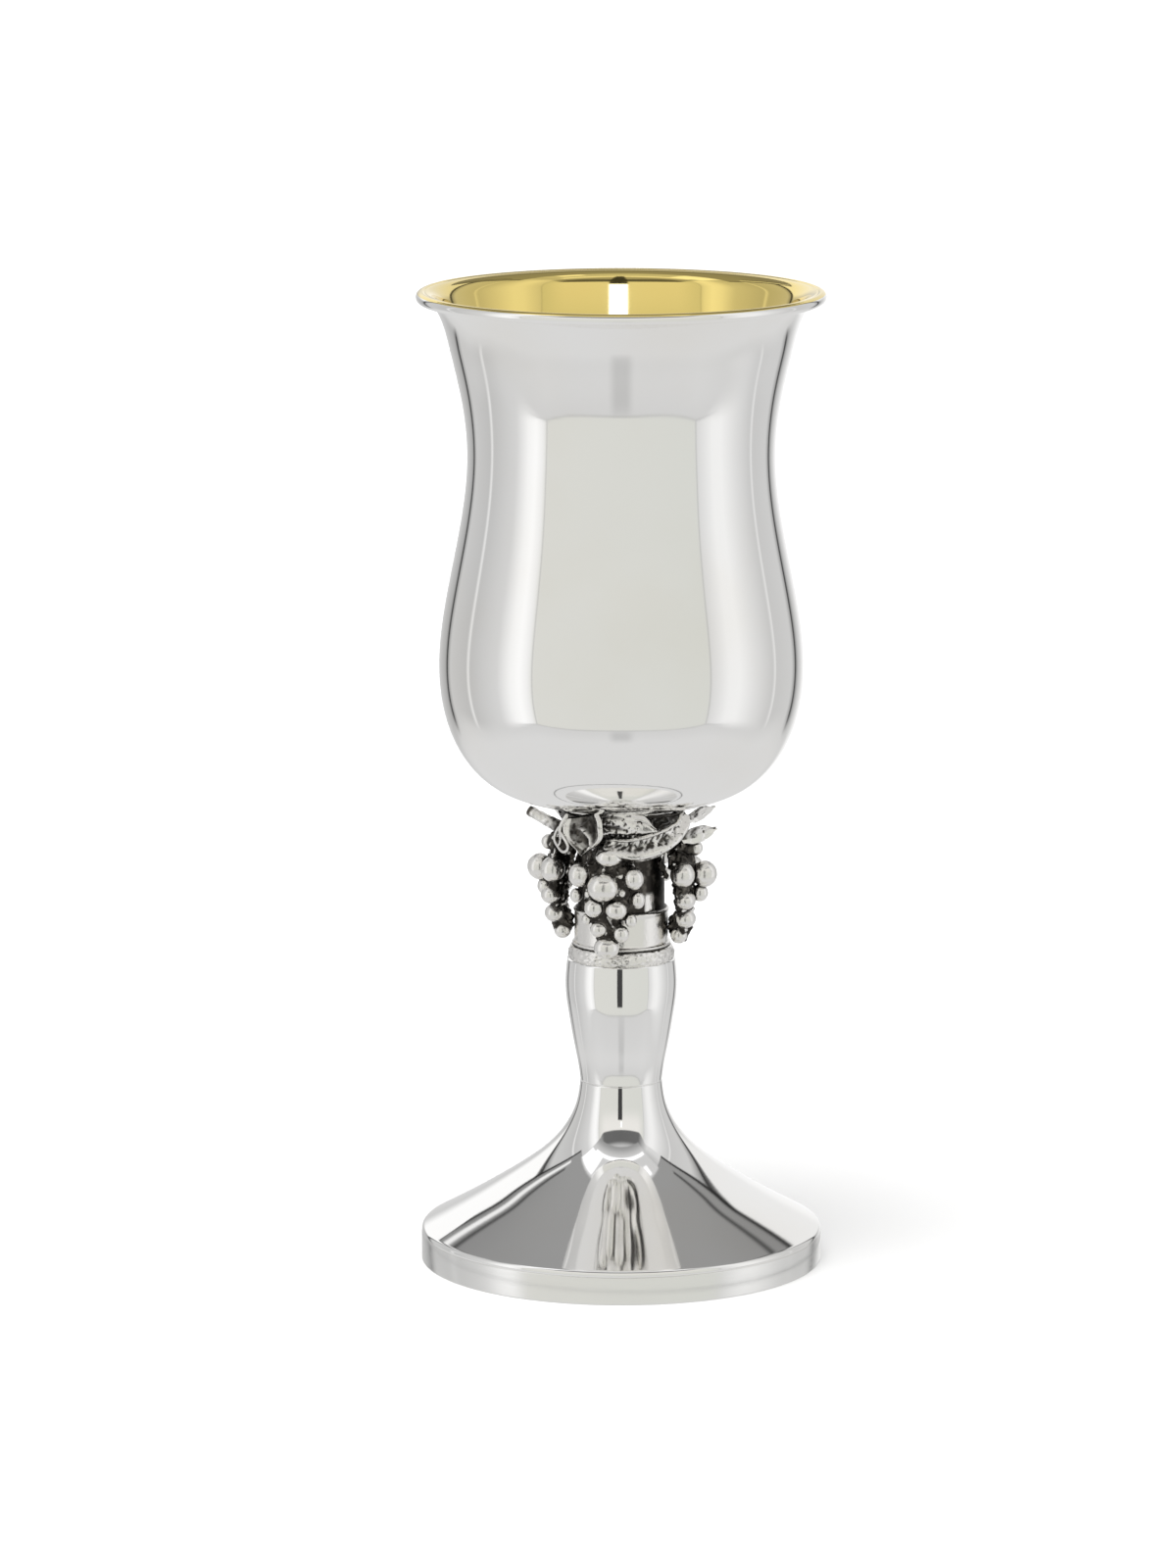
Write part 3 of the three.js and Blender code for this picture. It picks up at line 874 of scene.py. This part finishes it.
def core(material):
    outline = refined([(CORE_BORE, 62.5), *CORE_STEPS, (CORE_BORE, 89.4)], 0.5)
    piece = turned("turned_core", outline, [material], 160)
    shown_as(piece, "silver_oxidised", "knot_core")
    return piece


def collar(material):
    low, high = 84.2, 89.1
    piece = turned("rough_collar", refined([
        (8.7, low), (11.2, low + 0.3), (11.7, high - 1), (11.5, high), (8.7, high),
    ], 0.4), [material], 160)
    roughened(piece, 1.3, 1.5, 4)
    shown_as(piece, "silver_oxidised", "vine_collar")
    return piece


def seat_ring(material):
    radius, low, high = size_of("cup_seat_ring")
    piece = turned("seat_ring", refined([
        (SOCKET_HOLE, low), (radius - 0.1, low), (radius + 0.1, low + 0.3), (radius - 0.3, high),
        (SOCKET_HOLE, high),
    ], 0.5), [material], 160)
    roughened(piece, 0.35, 1.1, 7)
    shown_as(piece, "silver_polished", "cup_seat_ring")
    return piece


def base_ring(material):
    radius, low, high = size_of("knot_base_ring")
    piece = turned("rough_base_ring", refined([
        (HOLE_RADIUS, low), (radius - 0.25, low), (radius + 0.05, low + 0.6),
        (radius, low + 1.6), (radius - 0.5, high - 0.2), (radius - 0.9, high), (HOLE_RADIUS, high),
    ], 0.25), [material], 256)
    roughened(piece, 0.22, 0.9, 2, 2.2)
    shown_as(piece, "silver_oxidised", "knot_base_ring")
    return piece


# ---- Where the dark finish stays ---------------------------------------------------------------


def hemisphere(count):
    """Even directions over a hemisphere round +Z, denser towards the pole."""
    turn = np.arange(count) * math.pi * (3 - math.sqrt(5))
    height = np.sqrt(1 - (np.arange(count) + 0.5) / count)
    level = np.sqrt(1 - height**2)
    return np.column_stack([level * np.cos(turn), level * np.sin(turn), height])


def shelter(pieces, reach=2.6, rays=14):
    """How closed in each point of each piece is, from 0 to 1: polishing doesn't reach there."""
    points = []
    faces = []
    for piece in pieces:
        faces += [tuple(i + len(points) for i in p.vertices) for p in piece.data.polygons]
        points += [v.co.copy() for v in piece.data.vertices]
    tree = BVHTree.FromPolygons(points, faces)
    spread_out = [Vector(d) for d in hemisphere(rays)]
    result = {}
    for piece in pieces:
        closed_in = np.zeros(len(piece.data.vertices))
        for i, vertex in enumerate(piece.data.vertices):
            turn = vertex.normal.to_track_quat("Z", "Y")
            start = vertex.co + vertex.normal * 0.03 * MM
            hits = 0.0
            for direction in spread_out:
                distance = tree.ray_cast(start, turn @ direction, reach * MM)[3]
                if distance is not None:
                    hits += 1 - distance / (reach * MM)
            closed_in[i] = hits / rays
        result[piece] = closed_in
    return result


def set_patina(piece, values):
    layer = piece.data.attributes.new("patina", "FLOAT", "POINT")
    layer.data.foreach_set("value", np.clip(values, 0, 1))


PATCH_AZIMUTH = 41  # the middle of a lighter patch, and there is one every quarter turn


def neck_darkness(piece):
    """The neck is dark all round but for a lighter patch low between each pair of bunches."""
    points = mesh_points(piece) / MM
    azimuth = np.degrees(np.arctan2(points[:, 0], -points[:, 1]))
    from_patch = np.abs((azimuth - PATCH_AZIMUTH + 45) % 90 - 45)
    # a lighter patch low between the bunches, where the dark is left out
    polished = (1 - rise(from_patch, 5, 11)) * (1 - rise(points[:, 2], 72.6, 74.4))
    return rise(points[:, 2], 69.7, 70.1) * (1 - polished)


def knot(oxidised):
    dark = {**leaves(oxidised), **twig_and_tendrils(oxidised)}
    for seed, (node, (azimuth, grapes)) in enumerate(BUNCHES.items()):
        piece, darkness = bunch(node, azimuth, grapes, oxidised, seed)
        dark[piece] = darkness
    core_piece = core(oxidised)
    dark[core_piece] = neck_darkness(core_piece)
    for make, darkness in ((collar, 0.8), (base_ring, 0.1), (seat_ring, 0.0)):
        piece = make(oxidised)
        dark[piece] = darkness + lumps(mesh_points(piece) / MM, 0.6, 8) * 0.5
    closed_in = shelter(list(dark))
    for piece, darkness in dark.items():
        hidden = 0 if "tendril" in piece.name else rise(closed_in[piece], 0.2, 0.5)
        set_patina(piece, np.maximum(hidden, darkness))


# ---- Studio --------------------------------------------------------------------------------


def heading(graph, direction):
    """A direction's azimuth and elevation in degrees, and its parts."""
    x, y, z = graph.node("ShaderNodeSeparateXYZ", {"Vector": direction}).outputs
    towards = graph.times(y, -1.0)
    azimuth = graph.times(graph.math("ARCTAN2", x, towards), 180 / math.pi)
    level = graph.math("SQRT", graph.math("ADD", graph.times(x, x), graph.times(y, y)))
    elevation = graph.times(graph.math("ARCTAN2", z, level), 180 / math.pi)
    return azimuth, elevation, x, towards, z


FRONT_PANEL = 58  # degrees from the middle of the tent's front wall to its seams
WALL_FOOT = -29.6  # elevation of the wall's foot, in degrees, in the middle of the front
CORNER_RISE = 4.3  # how much higher the foot looks at the seams
BACK_RISE = 6.0  # and how much higher still at the back
WALL_TOP_FRONT = 44.0
WALL_TOP_SIDES = 54.0
WHITE = (1.0, 1.0, 1.0, 1.0)
LAMP = (1.15, 1.15, 1.17, 1.0)


def tent_wall(graph, azimuth, away, elevation):
    """The walls by azimuth, lighter high up in front, with a bright backdrop behind them."""
    turn = graph.math("ADD", graph.math("DIVIDE", azimuth, 360.0), 0.5)
    wall = graph.ramp(turn, [((a + 180) / 360, screen(*np.ravel(c))) for a, c in WALL_STOPS])
    front = graph.less(1.0, graph.step(away, 40.0, 60.0))
    glow = graph.times(graph.step(elevation, 10.0, 38.0), front)
    wall = graph.mix(glow, wall, screen(232, 230, 226))
    behind = graph.times(graph.step(away, 145.5, 147.0), graph.step(elevation, 2.0, 12.0))
    backdrop = graph.mix(graph.step(azimuth, -1.0, 1.0), screen(252), screen(234))
    return graph.mix(behind, wall, backdrop)


def above_ground(graph, away, elevation):
    """How many degrees a direction is above the line where the wall meets the ground."""
    in_front = graph.math("DIVIDE", graph.math("MINIMUM", away, FRONT_PANEL), FRONT_PANEL)
    corner_rise = graph.times(graph.math("POWER", in_front, 3.0), CORNER_RISE)
    back_rise = graph.times(graph.step(away, 100.0, 132.0), BACK_RISE)
    wall_foot = graph.math("ADD", graph.math("ADD", corner_rise, back_rise), WALL_FOOT)
    return graph.less(elevation, wall_foot)


def tent_ground(graph, azimuth, elevation, over_ground):
    """The grey ground, with a dim gap under the camera."""
    ground = graph.mix(graph.step(over_ground, -9.0, 0.0), screen(215), screen(208))
    gap = graph.times(
        graph.window(azimuth, -7.0, 7.0, 4.0), graph.window(elevation, -36.5, -30.0, 3.0))
    return graph.mix(gap, ground, screen(192))


def tent(graph, azimuth, elevation):
    """The ground, the walls with their seams in front, and the dim space above them."""
    away = graph.math("ABSOLUTE", azimuth)
    over_ground = above_ground(graph, away, elevation)
    beside = graph.step(away, 60.0, 80.0)
    soft = graph.math("ADD", graph.times(beside, 2.4), 0.6)
    colour = graph.mix(
        graph.step(over_ground, graph.times(soft, -1.0), soft),
        tent_ground(graph, azimuth, elevation, over_ground),
        tent_wall(graph, azimuth, away, elevation),
    )
    fold = graph.times(graph.near(over_ground, 0.0, 0.5), graph.less(1.0, beside))
    corner = graph.times(graph.near(away, FRONT_PANEL, 0.9), graph.step(over_ground, -0.5, 0.5))
    seams = graph.times(graph.math("MAXIMUM", fold, corner), 0.55)
    colour = graph.mix(seams, colour, screen(165))

    higher = graph.times(graph.step(away, 44.0, 66.0), WALL_TOP_SIDES - WALL_TOP_FRONT)
    over_wall = graph.less(elevation, graph.math("ADD", WALL_TOP_FRONT, higher))
    loft_colour = graph.ramp(graph.math("DIVIDE", away, 180.0), LOFT_STOPS)
    loft_colour = graph.mix(graph.step(elevation, 56.0, 63.0), loft_colour, screen(190))
    return graph.mix(graph.step(over_wall, -1.0, 1.0), colour, loft_colour)


def with_overhead(graph, colour, x, towards, z):
    """The colour under the roof and the lamps, laid out on a ceiling one unit up.

    Places are (across, forward), so that straight edges stay straight.
    """
    safe = graph.math("MAXIMUM", z, 0.05)
    across = graph.math("DIVIDE", x, safe)
    forward = graph.math("DIVIDE", towards, safe)
    above = graph.math("GREATER_THAN", z, 0.0)
    roof = graph.mix(graph.step(forward, -1.3, -0.25), screen(138), screen(150))
    ceiling = graph.mix(graph.step(forward, 0.24, 0.5), screen(204), screen(150))
    layers = [
        ((-0.89, 0.74), (-1.94, -0.13), screen(40)),
        ((-0.85, 0.7), (-1.9, -0.13), roof),
        *[(turns, reach, screen(shade)) for turns, reach, shade in ROOF_SEAMS],
        ((-0.72, 0.5), (-0.15, 0.5), ceiling),
        *[(turns, reach, LAMP) for turns, reach in LAMPS],
    ]
    for turns, reach, layer in layers:
        inside = graph.times(
            graph.window(across, *turns, 0.018), graph.window(forward, *reach, 0.018))
        colour = graph.mix(graph.times(inside, above), colour, layer)
    return colour


def studio_light():
    """A light tent that only the metal and the floor see: the camera sees plain white."""
    world = bpy.data.worlds.new("tent")
    bpy.context.scene.world = world
    world.use_nodes = True
    graph = Graph(world.node_tree)
    direction = graph.node("ShaderNodeTexCoord").outputs["Generated"]
    azimuth, elevation, x, towards, z = heading(graph, direction)
    colour = with_overhead(graph, tent(graph, azimuth, elevation), x, towards, z)
    seen = graph.node("ShaderNodeLightPath").outputs["Is Camera Ray"]
    colour = graph.mix(seen, colour, WHITE)
    light = graph.node("ShaderNodeBackground", {"Color": colour, "Strength": 1.0 / SILVER[1]})
    graph.node("ShaderNodeOutputWorld", {"Surface": light.outputs[0]})


# How the tent's wall looks in polished silver, by azimuth: a warm front panel, bright side
# panels that fade away from it, dark seams at the back and a white backdrop beyond them.
WALL_STOPS = [
    (-180, 216), (-149, 176), (-145.4, 140), (-144.6, 45), (-142.8, 45),
    (-142, 160), (-138, 200), (-115, 190), (-113, 240), (-111, 191),
    (-85, 211), (-74, 244), (-67, 252), (-61, 238), (-57, (216, 216, 211)),
    (57, (213, 214, 209)), (59, 216), (72, 239), (80, 240), (95, 220),
    (112, 198), (113.5, 236), (115, 198), (137, 204), (142, 160), (142.8, 45),
    (144.6, 45), (145.4, 140), (150, 190), (165, 240), (180, 252),
]
# Seams in the dark roof behind, as (across, forward) spans and their shade.
ROOF_SEAMS = [
    ((-0.8, -0.75), (-1.8, -0.4), 240), ((-0.72, -0.69), (-1.7, -0.5), 70),
    ((0.59, 0.62), (-1.7, -0.4), 70),
]
# The lamps in the ceiling, as (across, forward) spans.
LAMPS = [
    ((-0.56, 0.46), (0.19, 0.26)), ((-0.7, -0.34), (-0.12, 0.2)), ((0.2, 0.36), (-0.12, 0.02)),
]
# The dim space above the walls, by how far round it is from the front (0) to the back (1).
LOFT_STOPS = [
    (0.0, screen(100)), (0.25, screen(104)), (0.31, screen(170)), (0.38, screen(216)),
    (0.62, screen(214)), (0.74, screen(150)), (1.0, screen(140)),
]


def stage_card(name, corners, material):
    card = new_object(name, corners, [(0, 1, 2, 3)], [material])
    return card


def floor():
    material, graph = new_material("paper_floor")
    shader = graph.node(
        "ShaderNodeBsdfDiffuse", {"Color": graph.mix(
            graph.noise(8, 3), (0.9, 0.9, 0.9, 1.0), (0.88, 0.88, 0.88, 1.0))})
    graph.node("ShaderNodeOutputMaterial", {"Surface": shader.outputs[0]})
    reach = 4.0
    corners = [(-reach, -reach, 0), (reach, -reach, 0), (reach, reach, 0), (-reach, reach, 0)]
    card = stage_card("floor", corners, material)
    card.visible_glossy = False


def only_reflected(card):
    card.visible_camera = False
    card.visible_diffuse = False
    card.visible_shadow = False


# The slot's light as the inside of the lip sees it: its two azimuths and its upper elevation.
LIGHT_SIDES = (-4.7, 8.9)
LIGHT_TOP = 37


def front_slot():
    """The opening in the tent's front, where the camera stands.

    Metal below the bowl sees it dark, with a light spot on top. The inside of the bowl sees the
    light above it. Any other reflection passes through to the tent.
    """
    material, graph = new_material("front_slot")
    geometry = graph.node("ShaderNodeNewGeometry").outputs
    travelled = graph.node("ShaderNodeLightPath").outputs["Ray Length"]
    origin = graph.node("ShaderNodeVectorMath", {
        0: geometry["Incoming"], 1: travelled, 2: geometry["Position"],
    }, operation="MULTIPLY_ADD").outputs[0]
    onwards = graph.node(
        "ShaderNodeVectorMath", {0: geometry["Incoming"], "Scale": -1.0}, operation="SCALE",
    ).outputs[0]
    azimuth, elevation, *_ = heading(graph, onwards)
    _, depth, height = graph.node("ShaderNodeSeparateXYZ", {"Vector": origin}).outputs

    from_below = graph.times(
        graph.math("LESS_THAN", height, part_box("cup_bowl")[0].z),
        graph.math("GREATER_THAN", height, 12 * MM),
    )
    from_lip = graph.times(
        graph.math("GREATER_THAN", height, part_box("cup_bowl")[1].z - 25 * MM),
        graph.math("GREATER_THAN", depth, 0.0),
    )

    def patch(turns, heights, soft, where):
        inside = graph.times(
            graph.window(azimuth, *turns, soft), graph.window(elevation, *heights, 0.8))
        return graph.times(inside, where)

    dark = graph.math(
        "MAXIMUM",
        patch((-8.6, 2.4), (-25, 31), 0.6, from_below),
        patch(LIGHT_SIDES, (LIGHT_TOP, 80), 0.5, from_lip),
    )
    bright = graph.math(
        "MAXIMUM",
        patch((-2.2, 2.2), (32.5, 41.5), 0.5, from_below),
        patch(LIGHT_SIDES, (12, LIGHT_TOP), 0.5, from_lip),
    )
    light = graph.mix(from_lip, (1.25, 1.25, 1.2, 1.0), (3.0, 3.4, 6.0, 1.0))
    glow = graph.node(
        "ShaderNodeEmission",
        {"Color": graph.mix(bright, screen(66), light), "Strength": 1.0},
    ).outputs[0]
    clear = graph.node("ShaderNodeBsdfTransparent").outputs[0]
    shown = graph.math("MAXIMUM", dark, bright)
    mixed = graph.node("ShaderNodeMixShader", {0: shown, 1: clear, 2: glow}).outputs[0]
    graph.node("ShaderNodeOutputMaterial", {"Surface": mixed})
    half, near, top = 0.1, -0.12, 0.9
    corners = [(-half, near, 0), (half, near, 0), (half, near, top), (-half, near, top)]
    only_reflected(stage_card("front_slot", corners, material))


def turntable_edge():
    """The thin dark edge of the round board under the paper, seen in the bowl's underside."""
    material, graph = new_material("turntable_edge")
    shader = graph.node("ShaderNodeEmission", {"Color": screen(150), "Strength": 1.0})
    graph.node("ShaderNodeOutputMaterial", {"Surface": shader.outputs[0]})
    inner, outer, sides = 0.0475, 0.0487, 96
    shift, height = -0.003, 0.0003
    angles = [2 * math.pi * i / sides for i in range(sides)]
    points = [
        (r * math.cos(a) + shift, r * math.sin(a), height) for r in (inner, outer) for a in angles
    ]
    faces = []
    for i in range(sides):
        j = (i + 1) % sides
        faces.append((i, j, sides + j, sides + i))
    edge = new_object("turntable_edge", points, faces, [material])
    only_reflected(edge)


def key_light():
    """A wide soft light, a little to the front and left, that only the floor takes."""
    data = bpy.data.lights.new("key", "SUN")
    data.energy = 2.6
    data.angle = math.radians(45)
    lamp = bpy.data.objects.new("key", data)
    lamp.rotation_euler = (math.radians(15), math.radians(-7), 0)
    lamp.visible_glossy = False
    bpy.context.scene.collection.objects.link(lamp)


def camera():
    data = bpy.data.cameras.new("camera")
    data.lens = 164.9
    data.shift_x = -0.02125
    data.clip_start = 0.05
    view = bpy.data.objects.new("camera", data)
    view.location = (0, -1.368, 0.349)
    view.rotation_euler = (math.radians(90 - 10.56), 0, 0)
    bpy.context.scene.collection.objects.link(view)
    bpy.context.scene.camera = view


# ---- Scene ---------------------------------------------------------------------------------

silver = polished_silver()
brushed = brushed_silver()
gold = gilt()
oxidised = oxidised_silver()
steel = plain_steel()

bowl(silver, gold)
stem(silver)
foot(silver, brushed)
knot(oxidised)

for node_name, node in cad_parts.items():
    if node_name.startswith("tie"):
        finish = steel
    elif node_name.startswith(("cup", "knot_core")):
        finish = silver
    else:
        finish = oxidised
    node.data.materials.clear()
    node.data.materials.append(finish)

studio_light()
floor()
front_slot()
turntable_edge()
key_light()
camera()
scene = bpy.context.scene
scene.view_settings.view_transform = "Standard"
